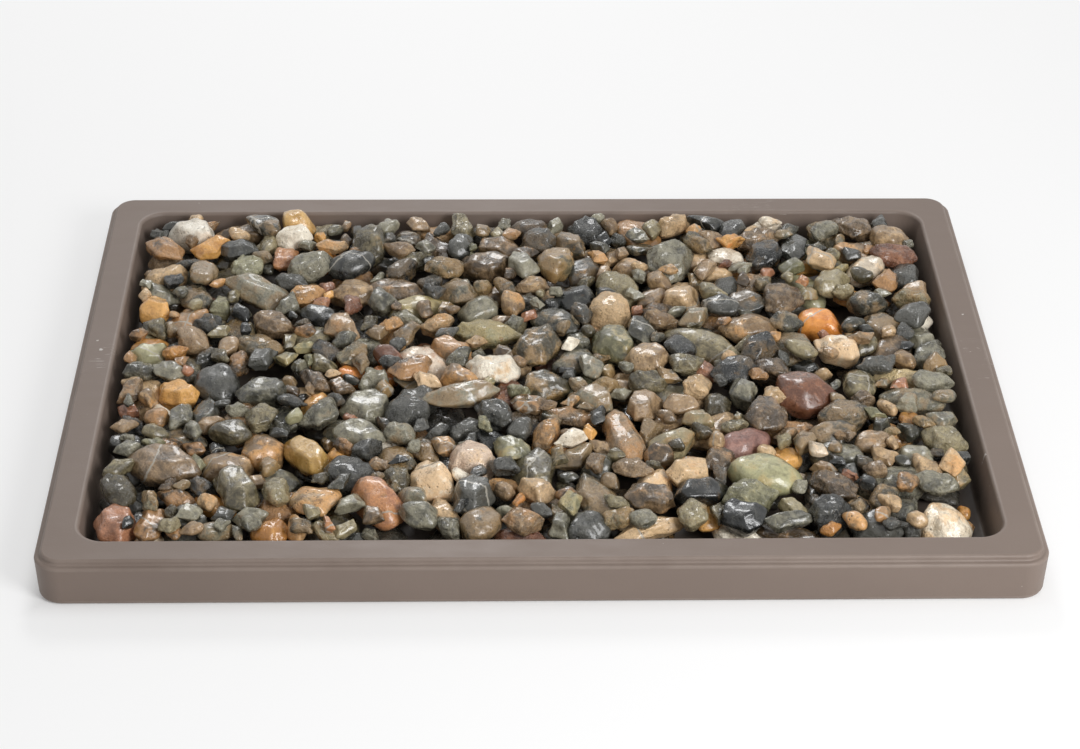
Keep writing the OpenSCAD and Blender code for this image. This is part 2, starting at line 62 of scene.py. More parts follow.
# Attributes that hold the three directions of a pebble, from its longest to its thinnest
WAYS = ("long_way", "broad_way", "thin_way")
log = logging.getLogger("pebble_tray")

Colour = tuple[float, float, float]
Point = tuple[float, float, float]
Pair = tuple[float, float]
Number = float | int


# Node trees


class Wire:
    """An output socket. Python's operators on it add the nodes that work them out."""

    def __init__(self, graph: "Graph", socket: bpy.types.NodeSocket) -> None:
        """Wraps one output socket of a graph."""
        self.graph = graph
        self.socket = socket

    def _calc(self, operation: str, first: Any, second: Any) -> "Wire":
        """Adds a Math node, or a Vector Math node where a vector takes part.

        Args:
            operation: The node's operation, which both kinds of node have.
            first: The first term, a wire or a number.
            second: The second term, a wire or a number.

        Returns:
            The result.
        """
        terms = [first, second]
        if any(isinstance(t, Wire) and t.socket.type == "VECTOR" for t in terms):
            terms = [(t, t, t) if isinstance(t, (int, float)) else t for t in terms]
            return self.graph.node("ShaderNodeVectorMath", {"operation": operation}, dict(enumerate(terms)))
        return self.graph.node("ShaderNodeMath", {"operation": operation}, dict(enumerate(terms)))

    def __add__(self, other: Any) -> "Wire":
        """Sum."""
        return self._calc("ADD", self, other)

    def __radd__(self, other: Any) -> "Wire":
        """Sum with a number on the left."""
        return self._calc("ADD", other, self)

    def __sub__(self, other: Any) -> "Wire":
        """Difference."""
        return self._calc("SUBTRACT", self, other)

    def __rsub__(self, other: Any) -> "Wire":
        """Difference from a number on the left."""
        return self._calc("SUBTRACT", other, self)

    def __mul__(self, other: Any) -> "Wire":
        """Product."""
        return self._calc("MULTIPLY", self, other)

    def __rmul__(self, other: Any) -> "Wire":
        """Product with a number on the left."""
        return self._calc("MULTIPLY", other, self)

    def __truediv__(self, other: Any) -> "Wire":
        """Quotient."""
        return self._calc("DIVIDE", self, other)

    def __abs__(self) -> "Wire":
        """Size without sign."""
        return self.graph.maths("ABSOLUTE", self)

    def rise(self, low: Number, high: Number) -> "Wire":
        """A smooth step.

        Args:
            low: The value at which the result is 0.
            high: The value at which the result is 1; it may be the lower one.

        Returns:
            A number from 0 to 1.
        """
        if high < low:
            return 1 - self.rise(high, low)
        return self.graph.node("ShaderNodeMapRange", {"interpolation_type": "SMOOTHSTEP"},
                               {"Value": self, "From Min": low, "From Max": high})

    def part(self, axis: str) -> "Wire":
        """One component of a vector, by its letter."""
        return self.graph.node("ShaderNodeSeparateXYZ", {}, {0: self}, axis.upper())

    def size(self) -> "Wire":
        """Length of a vector."""
        return self.graph.node("ShaderNodeVectorMath", {"operation": "LENGTH"}, {0: self}, "Value")


class Graph:
    """A node tree under construction, of a material or of a Geometry Nodes modifier."""

    def __init__(self, tree: bpy.types.NodeTree) -> None:
        """Wraps an empty node tree."""
        self.tree = tree

    def node(self, kind: str, settings: dict[str, Any] | None = None,
             inputs: dict[str | int, Any] | None = None, output: str | int = 0) -> Wire:
        """Adds a node of any type.

        Args:
            kind: The node's type name.
            settings: Its settings, set before its sockets.
            inputs: Values or wires, by socket name or position.
            output: The socket to return, by name or position.

        Returns:
            The output as a wire.
        """
        made = self.tree.nodes.new(kind)
        for name, value in (settings or {}).items():
            setattr(made, name, value)
        for key, value in (inputs or {}).items():
            self.feed(made, key, value)
        return Wire(self, self._pick(made.outputs, output))

    def feed(self, made: bpy.types.Node, key: str | int, value: Any) -> None:
        """Sets or links one input.

        Args:
            made: The node.
            key: The socket's name or position.
            value: A wire to link, or a value for the socket itself.
        """
        socket = self._pick(made.inputs, key)
        if isinstance(value, Wire):
            self.tree.links.new(value.socket, socket)
        elif socket.type == "RGBA":
            socket.default_value = (*value[:3], 1.0)
        else:
            socket.default_value = value

    @staticmethod
    def _pick(sockets: Any, key: str | int) -> bpy.types.NodeSocket:
        """The socket in use with that name or position."""
        if isinstance(key, int):
            return sockets[key]
        return next(s for s in sockets if s.enabled and s.name == key)

    def mix(self, share: Any, first: Any, second: Any) -> Wire:
        """Mixes two colours.

        Args:
            share: How much of the second colour shows, from 0 to 1.
            first: The first colour.
            second: The second colour.

        Returns:
            The mixed colour.
        """
        return self.node("ShaderNodeMix", {"data_type": "RGBA", "clamp_factor": True},
                         {"Factor": share, "A": first, "B": second}, "Result")

    def noise(self, place: Wire, pitch_mm: float, detail: float = 3.0, rough: float = 0.55,
              warp: float = 0.0) -> Wire:
        """Cloudy noise.

        Args:
            place: Coordinates in millimetres.
            pitch_mm: The size of its clouds.
            detail: How many finer layers it has.
            rough: How strong these are.
            warp: How far it distorts itself.

        Returns:
            A number near 0.5, mostly from 0.25 to 0.75.
        """
        return self.node("ShaderNodeTexNoise", {}, {
            "Vector": place, "Scale": 1 / pitch_mm, "Detail": detail, "Roughness": rough, "Distortion": warp})

    def cells(self, place: Wire, pitch_mm: float) -> Wire:
        """Distance to the nearest point of a scattered set, in cells."""
        return self.node("ShaderNodeTexVoronoi", {}, {"Vector": place, "Scale": 1 / pitch_mm}, "Distance")

    def dot(self, first: Any, second: Any) -> Wire:
        """Dot product of two vectors."""
        return self.node("ShaderNodeVectorMath", {"operation": "DOT_PRODUCT"}, {0: first, 1: second}, "Value")

    def maths(self, operation: str, *terms: Any) -> Wire:
        """A Math node's operation that Python has no operator for."""
        return self.node("ShaderNodeMath", {"operation": operation}, dict(enumerate(terms)))

    def object_mm(self) -> Wire:
        """The piece's own Object coordinates, in millimetres."""
        return self.node("ShaderNodeTexCoord", {}, {}, "Object") * (1 / MM)

    def attribute(self, name: str, output: str = "Vector") -> Wire:
        """Reads an attribute of the mesh in a material."""
        return self.node("ShaderNodeAttribute", {"attribute_name": name}, {}, output)

    def bump(self, height: Wire, depth_mm: float) -> Wire:
        """A normal bent by a height from 0 to 1 that stands for so many millimetres."""
        return self.node("ShaderNodeBump", {}, {
            "Strength": 1.0, "Distance": depth_mm * MM, "Height": height}, "Normal")


def new_material(name: str) -> tuple[bpy.types.Material, Graph]:
    """Makes a material with an empty tree.

    Args:
        name: The material's name.

    Returns:
        The material and its graph.
    """
    material = bpy.data.materials.new(name)
    material.use_nodes = True
    material.node_tree.nodes.clear()
    return material, Graph(material.node_tree)


def close_material(graph: Graph, **sockets: Any) -> None:
    """Ends a material's tree with its shader.

    Args:
        graph: The material's graph.
        **sockets: Values or wires of the shader, with _ for each space in a socket's name.
    """
    shader = graph.node("ShaderNodeBsdfPrincipled", {},
                        {name.replace("_", " "): value for name, value in sockets.items()}, "BSDF")
    graph.feed(graph.tree.nodes.new("ShaderNodeOutputMaterial"), "Surface", shader)


# Finishes


@dataclass(frozen=True)
class TrayPlastic:
    """Satin moulded plastic, warm grey-brown, with a fine grain, the faint marks of handling, painted
    highlight on its rounded edges and painted shade low in its basin.
    """

    colour: Colour = (0.192, 0.147, 0.122)
    # The colour's darker clouds, as a share of it, how much of them shows, and their pitch
    cloud_tone: float = 0.9
    clouds: float = 0.5
    cloud_mm: float = 45
    # Colour and strength of the lighter edges, partly rubbed wear and partly painted highlight, with the
    # pitch and the range of their patches
    worn_and_lit: Colour = (0.290, 0.238, 0.205)
    rub: float = 0.35
    wear_and_highlight_mm: float = 18
    wear_and_highlight_range: Pair = (0.2, 0.7)
    # Colour, strength, pitch and reach of the dust specks, and of the patches that they lie in
    dust: Colour = (0.560, 0.530, 0.500)
    specks: float = 0.35
    speck_mm: float = 5.5
    speck_reach: Pair = (0.075, 0.045)
    speck_patch_mm: float = 30
    speck_patches: Pair = (0.55, 0.62)
    # Colour and strength of the painted shade low in the basin, which darkens its floor and lower walls
    basin_shade: Colour = (0.045, 0.036, 0.029)
    basin_shade_share: float = 0.8
    # Reach of the painted shade in the basin from the middle to each side, how soft its border is, and the
    # heights over which it fades in from above and, clear of the underside, from below
    basin_shade_reach: Pair = (157, 112)
    basin_shade_edge: float = 4
    basin_shade_top: Pair = (14, 4)
    basin_shade_bottom: Pair = (1.2, 1.6)
    # Roughness, and how far smears and grain sway it
    roughness: float = 0.5
    smear_sway: float = 0.22
    grain_sway: float = 0.08
    smear_mm: float = 7
    smear_stretch: Point = (0.35, 1.0, 1.0)
    refraction: float = 1.42
    # Pitches of the relief, the shares of grain, ripples and marks in it, and its depth
    grain_mm: float = 0.55
    ripple_mm: float = 2.2
    grain_relief: float = 0.6
    ripple_relief: float = 0.4
    mark_relief: float = 0.2
    bump_mm: float = 0.05
    # Places of small chips on the rim, in millimetres, and their reach, and how ragged they are
    chips: tuple[Point, ...] = ((-157, 8, 1.0), (-159, 14, 0.6), (152, -60, 0.7), (158, 30, 0.5))
    chip_strength: float = 0.85
    chip_rag_mm: float = 1.6
    chip_rag_pitch_mm: float = 0.8
    # Places where the rim is scratched, and the reach of the scratches
    scratches: tuple[Point, ...] = ((160, -5, 26), (-157, 4, 20), (90, 113, 22))
    scratch_strength: float = 0.55
    # Turn of the scratches in radians, how far they are drawn out, their pitch and their width in the noise
    scratch_turn: float = 0.5
    scratch_scale: Point = (0.06, 1.3, 1.0)
    scratch_mm: float = 1.4
    scratch_width: Pair = (0.012, 0.003)
    # Pitch and range of the gaps in them
    gap_mm: float = 5
    gap_range: Pair = (0.52, 0.62)
    # Share of a patch's reach within which it is full
    patch_core: float = 0.4

    def build(self) -> bpy.types.Material:
        """Makes the material."""
        material, g = new_material("tray_plastic")
        place = g.object_mm()
        cloud = g.noise(place, self.cloud_mm).rise(*CLOUDY) * self.clouds
        colour = g.mix(cloud, self.colour, tuple(c * self.cloud_tone for c in self.colour))
        # Lighter roundings: partly rubbed wear, partly painted highlight along the tray's rounded edges
        worn_and_lit = g.attribute("rub", "Fac") * g.noise(place, self.wear_and_highlight_mm).rise(*self.wear_and_highlight_range) * self.rub
        colour = g.mix(worn_and_lit, colour, self.worn_and_lit)
        marks = self._scratches(g, place) + self._chips(g, place)
        dusty = g.noise(place, self.speck_patch_mm, detail=2).rise(*self.speck_patches)
        specks = g.cells(place, self.speck_mm).rise(*self.speck_reach) * dusty
        colour = g.mix((marks + specks * self.specks).rise(0, 1), colour, self.dust)
        # Painted shade: the basin's floor and lower walls are darkened, standing in for the shade among the
        # pebbles
        colour = g.mix(self._painted_basin_shade(place) * self.basin_shade_share, colour, self.basin_shade)

        grain = g.noise(place, self.grain_mm, detail=2)
        smear = g.noise(place * self.smear_stretch, self.smear_mm, detail=4, rough=0.6)
        rough = self.roughness + (smear - 0.5) * self.smear_sway + (grain - 0.5) * self.grain_sway
        ripples = g.noise(place, self.ripple_mm, detail=2)
        height = grain * self.grain_relief + ripples * self.ripple_relief + marks * self.mark_relief
        close_material(g, Base_Color=colour, Roughness=rough, IOR=self.refraction,
                       Normal=g.bump(height, self.bump_mm))
        return material

    def _painted_basin_shade(self, place: Wire) -> Wire:
        """Mask of the painted shade in the lower part of the basin, clear of the skirt and the underside."""
        inside = [abs(place.part(axis)).rise(reach, reach - self.basin_shade_edge)
                  for axis, reach in zip(("x", "y"), self.basin_shade_reach)]
        height = place.part("z")
        return height.rise(*self.basin_shade_top) * height.rise(*self.basin_shade_bottom) * (inside[0] * inside[1])

    def _scratches(self, g: Graph, place: Wire) -> Wire:
        """Mask of fine scratches within a few patches."""
        turned = g.node("ShaderNodeMapping", {}, {
            "Vector": place, "Rotation": (0, 0, self.scratch_turn), "Scale": self.scratch_scale}, "Vector")
        lines = abs(g.noise(turned, self.scratch_mm, detail=1) - 0.5).rise(*self.scratch_width)
        broken = g.noise(place, self.gap_mm).rise(*self.gap_range)
        return lines * broken * self._patches(place, self.scratches, self.scratch_strength)

    def _chips(self, g: Graph, place: Wire) -> Wire:
        """Mask of the small chips, with ragged outlines."""
        ragged = place + (g.noise(place, self.chip_rag_pitch_mm, detail=2) - 0.5) * self.chip_rag_mm
        return self._patches(ragged, self.chips, self.chip_strength)

    def _patches(self, place: Wire, spots: Iterable[Point], strength: float) -> Wire:
        """Round patches in plan, full near the middle.

        Args:
            place: Coordinates in millimetres.
            spots: Centre and reach of each patch.
            strength: The mask's value inside.

        Returns:
            The mask.
        """
        flat = place * (1.0, 1.0, 0.0)
        total: Any = 0.0
        for x, y, reach in spots:
            spot = (flat - (x, y, 0.0)).size().rise(reach, reach * self.patch_core)
            total = spot * strength + total
        return total


@dataclass(frozen=True)
class Patterns:
    """What the colour and the surface of a stone share: a pebble's own draw and the noise over it."""

    place: Wire
    tone: Wire
    warm: Wire
    manner: Wire
    broad: Wire
    clouds: Wire
    fine: Wire
    bands: Wire
    coarse: Wire


@dataclass(frozen=True)
class Stone:
    """A kind of wet river stone. Each pebble's own draw of tone, warmth and manner varies it."""

    name: str
    dark: Colour
    light: Colour
    warm: Colour
    # How much of the stone turns warm, how cloudy it is and how speckled
    warmth: float = 0.3
    mottle: float = 0.9
    speckle: float = 0.65
    # Strength and pitch of the bedding, and how far it is drawn out along the flat side
    band: float = 0.3
    band_mm: float = 1.8
    band_stretch: Point = (0.16, 0.16, 1.0)
    # Colour of veins and grains, the share of pebbles that have veins, and how far these wander
    vein: Colour = (0.42, 0.39, 0.33)
    veins: float = 0.12
    vein_wander_mm: float = 2.2
    # Colour of the stains and how far they spread
    stain: Colour = (0.30, 0.165, 0.055)
    stains: float = 0.3
    pits: float = 0.5
    roughness: float = 0.18
    refraction: float = 1.5
    coat: float = 0.5
    coat_roughness: float = 0.07
    coat_refraction: float = 1.4
    # Lift of all colours, and depth of the surface's relief
    gain: float = 1.3
    bump_mm: float = 0.9
    # Pitches of the patterns
    broad_mm: float = 8
    cloud_mm: float = 3.0
    fine_mm: float = 0.8
    stain_mm: float = 4.5
    grain_mm: float = 0.9
    pit_mm: float = 1.3

    # What all kinds share. Manners over which a pebble turns from fine to coarse
    COARSE = (0.3, 0.85)
    # How far the draw and the clouds spread the tone, and the broad pattern the warmth
    TONE_SPREAD = 0.9
    CLOUD_SPREAD = 2.2
    WARM_SPREAD = 1.4
    # Where warmth sets in and where it is full, for a stone with no warmth, and its strength
    WARM_RANGE = (1.05, 1.4)
    WARM_SHARE = 0.85
    # Manners over which the bedding comes out, its contrast, and the contrast of the speckle
    BEDDED = (0.1, 0.7)
    BED_CONTRAST = 3
    SPECKLE_CONTRAST = 2.4
    # Where stains set in and end in their pattern, how much earlier strong stains do, the warmth at which
    # a pebble has them, their strength, and their pattern's shift against the clouds in millimetres
    STAIN_RANGE = (0.66, 0.70)
    STAIN_GROWTH = 0.2
    STAIN_WARMTH = 0.85
    STAIN_SHARE = 0.85
    STAIN_SHIFT = (71.0, 13.0, 5.0)
    # Reach of a grain in cells, the patches that have grains, their pitch and their strength
    GRAIN_REACH = (0.30, 0.12)
    GRAIN_PATCHES = (0.5, 0.62)
    GRAIN_PATCH_MM = 5
    GRAIN_SHARE = 0.6
    # Way across each set of veins, and the distance between them in millimetres
    VEIN_SETS = (((0.80, 0.50, 0.33), 19.0), ((0.35, -0.90, 0.25), 43.0))
    # Distances from a vein's middle between which it fades in, its strength, and the range of manners over
    # which pebbles start to have veins
    VEIN_EDGE = (0.5, 0.1)
    VEIN_SHARE = 0.8
    VEIN_ONSET = 0.02
    # Reach of a pit in cells, the patches that have pits, their pitch, and a pit's shade, tone and depth
    PIT_REACH = (0.42, 0.05)
    PIT_PATCHES = (0.45, 0.6)
    PIT_PATCH_MM = 4
    PIT_SHADE = 0.6
    PIT_TONE = 0.4
    PIT_DEPTH = 0.4
    # Shares of the fine noise, the clouds and the bedding in the relief, and its strength on a fine pebble
    # with what a coarse one adds
    FINE_RELIEF = 0.5
    CLOUD_RELIEF = 1.2
    BED_RELIEF = 0.35
    RELIEF = 0.3
    COARSE_RELIEF = 1.1
    # How far the clouds, the fine noise and coarseness sway the roughness, and its ends before and after it
    # is drawn together
    CLOUD_ROUGH = 0.7
    FINE_ROUGH = 0.3
    COARSE_ROUGH = 0.12
    ROUGH_RANGE = (-0.05, 1.05)
    ROUGH_LEAST = 0.1
    ROUGH_SPAN = 0.75

    def build(self) -> bpy.types.Material:
        """Makes the material."""
        material, g = new_material(self.name)
        p = self._patterns(g)
        pitted = g.noise(p.place, self.PIT_PATCH_MM, detail=2).rise(*self.PIT_PATCHES)
        pits = g.cells(p.place, self.pit_mm).rise(*self.PIT_REACH) * pitted * self.pits
        colour = self._marked(g, p, self._tinted(g, p))
        pit_colour = tuple(c * self.PIT_TONE for c in self.dark)
        colour = g.mix((pits * self.PIT_SHADE).rise(0, 1), colour, pit_colour)
        relief = (p.fine - 0.5) * self.FINE_RELIEF + (p.clouds - 0.5) * self.CLOUD_RELIEF
        relief = relief * (self.RELIEF + p.coarse * self.COARSE_RELIEF)
        height = relief + p.bands * self.band * self.BED_RELIEF - pits * self.PIT_DEPTH
        rough = (self.roughness + (p.clouds - 0.5) * self.CLOUD_ROUGH + (p.fine - 0.5) * self.FINE_ROUGH
                 + p.coarse * self.COARSE_ROUGH)
        rough = rough.rise(*self.ROUGH_RANGE) * self.ROUGH_SPAN + self.ROUGH_LEAST
        close_material(g, Base_Color=colour, Roughness=rough, IOR=self.refraction, Coat_Weight=self.coat,
                       Coat_Roughness=self.coat_roughness, Coat_IOR=self.coat_refraction,
                       Normal=g.bump(height, self.bump_mm))
        return material

    def _patterns(self, g: Graph) -> Patterns:
        """Reads the pebble's own draw and place, and lays the noise on them.

        Args:
            g: The material's graph.

        Returns:
            The shared patterns.
        """
        place = g.attribute("grain")
        draw = g.attribute("draw")
        manner = draw.part("z")
        return Patterns(
            place=place, tone=draw.part("x"), warm=draw.part("y"), manner=manner,
            coarse=manner.rise(*self.COARSE), broad=g.noise(place, self.broad_mm, detail=2),
            clouds=g.noise(place, self.cloud_mm, detail=5, rough=0.66, warp=0.4),
            fine=g.noise(place, self.fine_mm, rough=0.7),
            bands=g.noise(place * self.band_stretch, self.band_mm, detail=4, rough=0.7, warp=0.3))

    def _tinted(self, g: Graph, p: Patterns) -> Wire:
        """The stone's own colour, from dark to light and warm, with bedding and speckle.

        Args:
            g: The material's graph.
            p: The shared patterns.

        Returns:
            The colour.
        """
        shade = ((p.tone - 0.5) * self.TONE_SPREAD + (p.broad - 0.5)
                 + (p.clouds - 0.5) * self.mottle * self.CLOUD_SPREAD + 0.5)
        colour = g.mix(shade.rise(0, 1), self.dark, self.light)
        drawn = p.warm + (p.broad - 0.5) * self.WARM_SPREAD + (p.clouds - 0.5)
        tinge = drawn.rise(*(end - self.warmth for end in self.WARM_RANGE))
        colour = g.mix(tinge * self.WARM_SHARE, colour, self.warm)
        bedding = (p.bands - 0.5) * self.band * p.manner.rise(*self.BEDDED) * self.BED_CONTRAST
        speckle = (p.fine - 0.5) * self.speckle * self.SPECKLE_CONTRAST
        value = self.gain + bedding + speckle
        return g.node("ShaderNodeVectorMath", {"operation": "SCALE"}, {"Vector": colour, "Scale": value},
                      "Vector")

    def _marked(self, g: Graph, p: Patterns, colour: Wire) -> Wire:
        """Lays stains, grains and veins over the stone's colour.

        Args:
            g: The material's graph.
            p: The shared patterns.
            colour: The colour so far.

        Returns:
            The colour with its marks.
        """
        spread = g.noise(p.place + self.STAIN_SHIFT, self.stain_mm, detail=5, rough=0.68)
        onset, full = self.STAIN_RANGE
        stained = spread.rise(onset - self.STAIN_GROWTH * self.stains, full)
        stained = stained * p.warm.rise(self.STAIN_WARMTH - self.stains, 1.0)
        colour = g.mix(stained * self.STAIN_SHARE, colour, self.stain)
        grainy = g.noise(p.place, self.GRAIN_PATCH_MM, detail=2).rise(*self.GRAIN_PATCHES)
        grains = g.cells(p.place, self.grain_mm).rise(*self.GRAIN_REACH) * grainy
        colour = g.mix(grains * p.coarse * self.GRAIN_SHARE, colour, self.vein)
        chosen = (1 - p.manner).rise(1 - self.veins, 1 - self.veins + self.VEIN_ONSET)
        return g.mix(self._veins(g, p) * chosen * self.VEIN_SHARE, colour, self.vein)

    def _veins(self, g: Graph, p: Patterns) -> Wire:
        """Mask of thin lines that run through the stone nearly straight."""
        total: Any = 0.0
        for way, apart in self.VEIN_SETS:
            turns = g.maths("FRACT", (g.dot(p.place, way) + p.clouds * self.vein_wander_mm) / apart)
            total = (abs(turns - 0.5) * apart).rise(*self.VEIN_EDGE) + total
        return total.rise(0, 1)


class Kind(Enum):
    """The kinds of stone in the bed."""

    # The lowest pebbles get near-black colours: painted shade for the dark gaps between the pebbles above
    # them
    LOWER = Stone("lower_stone", dark=(0.013, 0.012, 0.009), light=(0.070, 0.062, 0.047),
                  warm=(0.085, 0.055, 0.030), warmth=0.4)
    SLATE = Stone("slate_stone", dark=(0.030, 0.029, 0.021), light=(0.235, 0.218, 0.156),
                  warm=(0.215, 0.142, 0.070), warmth=0.46)
    CHARCOAL = Stone("charcoal_stone", dark=(0.006, 0.007, 0.007), light=(0.066, 0.065, 0.056),
                     warm=(0.105, 0.072, 0.038), warmth=0.32, pits=0.7, roughness=0.2)
    OLIVE = Stone("olive_stone", dark=(0.044, 0.036, 0.019), light=(0.255, 0.214, 0.122),
                  warm=(0.250, 0.155, 0.064), warmth=0.44)
    UMBER = Stone("umber_stone", dark=(0.042, 0.027, 0.014), light=(0.290, 0.196, 0.110),
                  warm=(0.330, 0.172, 0.066), warmth=0.44, mottle=0.8)
    SANDSTONE = Stone("sandstone_stone", dark=(0.150, 0.094, 0.046), light=(0.500, 0.345, 0.190),
                      warm=(0.470, 0.250, 0.092), warmth=0.4, stain=(0.120, 0.068, 0.033), stains=0.45,
                      pits=0.8, roughness=0.4)
    AMBER = Stone("amber_stone", dark=(0.330, 0.145, 0.035), light=(0.640, 0.345, 0.105),
                  warm=(0.560, 0.185, 0.042), warmth=0.4, speckle=0.3, band=0.12,
                  stain=(0.150, 0.062, 0.024), stains=0.45, roughness=0.2, coat=0.6)
    RUSSET = Stone("russet_stone", dark=(0.105, 0.042, 0.023), light=(0.340, 0.158, 0.086),
                   warm=(0.400, 0.185, 0.074), warmth=0.4, mottle=0.8, band=0.15)
    QUARTZ = Stone("quartz_stone", dark=(0.430, 0.355, 0.260), light=(0.800, 0.735, 0.610),
                   warm=(0.600, 0.395, 0.205), warmth=0.42, speckle=0.35, band=0.1,
                   vein=(0.240, 0.185, 0.125), stain=(0.310, 0.185, 0.080), stains=0.5, pits=0.8,
                   roughness=0.3)
    SAGE = Stone("sage_stone", dark=(0.088, 0.084, 0.044), light=(0.310, 0.290, 0.172),
                 warm=(0.330, 0.258, 0.116), warmth=0.46, speckle=0.35, band=0.2, pits=0.3)


# Pieces


def mesh_object(name: str, points: Sequence[Any], faces: Sequence[Sequence[int]]) -> bpy.types.Object:
    """Makes a mesh object at the origin.

    Args:
        name: The piece's name.
        points: Its vertices in metres.
        faces: Its faces, wound so that they point outwards.

    Returns:
        The object, linked to the scene.
    """
    mesh = bpy.data.meshes.new(name)
    mesh.from_pydata(points, [], faces)
    made = bpy.data.objects.new(name, mesh)
    bpy.context.scene.collection.objects.link(made)
    return made


@dataclass(frozen=True)
class Station:
    """A point of the tray's section: its corner axis, its radius and height, and how much edge wear and
    painted highlight it gets.
    """

    axis: Pair
    radius: float
    height: float
    rub: float = 0.0

    def towards(self, other: "Station", share: float) -> "Station":
        """The station at a share of the way to another, with no edge wear and painted highlight."""
        ends = ((*self.axis, self.radius, self.height), (*other.axis, other.radius, other.height))
        x, y, radius, height = (a + (b - a) * share for a, b in zip(*ends))
        return Station((x, y), radius, height)


@dataclass
class Tray:
    """The moulded tray: skirt, ledge, step, flat rim, rounded lip, leaning basin walls and floor.

    Its section is a list of stations, from the floor's top over the rim to the underside. Each station
    becomes a loop round the tray, with its radius counted from an axis in each corner. Sizes are those of
    the frame, in millimetres and degrees.
    """

    width: float = 330
    depth: float = 240
    height: float = 17
    wall: float = 2
    rim: float = 13.2
    ledge: float = 2
    step: float = 2
    corner: float = 9
    opening: float = 9
    basin_lean: float = 10
    skirt_lean: float = 2
    edge: float = 1.0
    lip: float = 1.4
    fillet: float = 1.5
    foot: float = 1.6
    arc_steps: int = 8
    corner_steps: int = 24
    # Radius of the step's inner corner, as a share of the edge's
    cove_share: float = 0.8
    # Distance of the loops that keep a flat face flat next to a rounding
    hold: float = 0.15
    outer: Pair = field(init=False)
    inner: Pair = field(init=False)

    def __post_init__(self) -> None:
        """Places the axes of the outer corners and of the opening's corners."""
        self.outer = (self.width / 2 - self.corner, self.depth / 2 - self.corner)
        self.inner = tuple(side / 2 - self.rim - self.opening for side in (self.width, self.depth))

    def wall_at(self, z: float) -> float:
        """Radius of the basin wall's inner face at a height."""
        lean = math.radians(self.basin_lean)
        return (self.opening + self.lip - self.lip * math.cos(lean)
                - (self.height - self.lip + self.lip * math.sin(lean) - z) * math.tan(lean))

    def _arc(self, axis: Pair, centre: Pair, radius: float, start: float, end: float) -> list[Station]:
        """Stations of a rounding.

        Args:
            axis: The corner axis that the radii count from.
            centre: Radius and height of the rounding's centre.
            radius: The rounding's radius.
            start: Its first angle in degrees.
            end: Its last angle in degrees.

        Returns:
            The stations, all with edge wear and painted highlight.
        """
        turns = [math.radians(start + (end - start) * i / self.arc_steps) for i in range(self.arc_steps + 1)]
        return [Station(axis, centre[0] + radius * math.cos(turn), centre[1] + radius * math.sin(turn), 1.0)
                for turn in turns]

    def _top(self) -> list[Station]:
        """Stations from the floor's top over the lip, the rim, the step and the ledge to the skirt's foot."""
        lean = math.radians(self.basin_lean)
        bottom = self.wall + self.fillet
        inset = self.wall_at(bottom) - self.fillet / math.cos(lean)
        shelf = self.height - self.step
        cove = self.cove_share * self.edge
        brow = self.corner - self.ledge
        toe = self.corner - self._skirt_run() - self.foot
        return (self._arc(self.inner, (inset, bottom), self.fillet, -90, -self.basin_lean)
                + self._arc(self.inner, (self.opening + self.lip, self.height - self.lip), self.lip,
                            180 - self.basin_lean, 90)
                + self._arc(self.outer, (brow - self.edge, self.height - self.edge), self.edge, 90, 0)
                + self._arc(self.outer, (brow + cove, shelf + cove), cove, 180, 270)
                + self._arc(self.outer, (self.corner - self.edge, shelf - self.edge), self.edge, 90, 0)
                + self._arc(self.outer, (toe, self.foot), self.foot, 0, -90))

    def _underside(self) -> list[Station]:
        """Stations from the skirt's inner foot under the rim to the floor's underside."""
        skin = self.wall / math.cos(math.radians(self.basin_lean))
        shelf = self.height - self.step - self.wall
        low = self.height - self.wall
        skirt = self.corner - self.wall
        return [Station(self.outer, skirt - self._skirt_run(), 0), Station(self.outer, skirt, shelf),
                Station(self.outer, skirt - self.ledge, shelf), Station(self.outer, skirt - self.ledge, low),
                Station(self.inner, self.wall_at(low) + skin, low),
                Station(self.inner, self.wall_at(0) + skin, 0)]

    def _skirt_run(self) -> float:
        """How far the leaning skirt draws in from the ledge to the foot."""
        return (self.height - self.step) * math.tan(math.radians(self.skirt_lean))

    def _held(self) -> list[Station]:
        """Stations with holding loops next to every rounding and corner of the section."""
        stations = self._top() + self._underside()
        result = [stations[0]]
        for a, b in zip(stations, stations[1:]):
            gap = math.hypot(b.axis[0] + b.radius - a.axis[0] - a.radius, b.height - a.height)
            if gap > 4 * self.hold:
                result += [a.towards(b, share) for share in (self.hold / gap, 1 - self.hold / gap)]
            result.append(b)
        return result

    def _loop(self, station: Station) -> list[Point]:
        """One closed loop of points round the tray, anticlockwise from above."""
        points = []
        for quarter, (sx, sy) in enumerate(((1, 1), (-1, 1), (-1, -1), (1, -1))):
            for i in range(self.corner_steps + 1):
                turn = math.radians(90) * (quarter + i / self.corner_steps)
                points.append(((sx * station.axis[0] + station.radius * math.cos(turn)) * MM,
                               (sy * station.axis[1] + station.radius * math.sin(turn)) * MM,
                               station.height * MM))
        return points

    def build(self) -> bpy.types.Object:
        """Makes the closed mesh.

        Returns:
            The tray's object, with its attribute of edge wear and painted highlight.
        """
        stations = self._held()
        loops = [self._loop(station) for station in stations]
        count = len(loops[0])
        last = (len(loops) - 1) * count
        faces = [[row + i, row + count + i, row + count + (i + 1) % count, row + (i + 1) % count]
                 for row in range(0, last, count) for i in range(count)]
        faces.append(list(range(count)))
        faces.append([last + i for i in reversed(range(count))])
        made = mesh_object("moulded_tray", [point for loop in loops for point in loop], faces)
        rub = [station.rub for station in stations for _ in range(count)]
        made.data.attributes.new("rub", "FLOAT", "POINT").data.foreach_set("value", rub)
        made.data.shade_smooth()
        log.info("tray: %d faces", len(faces))
        return made

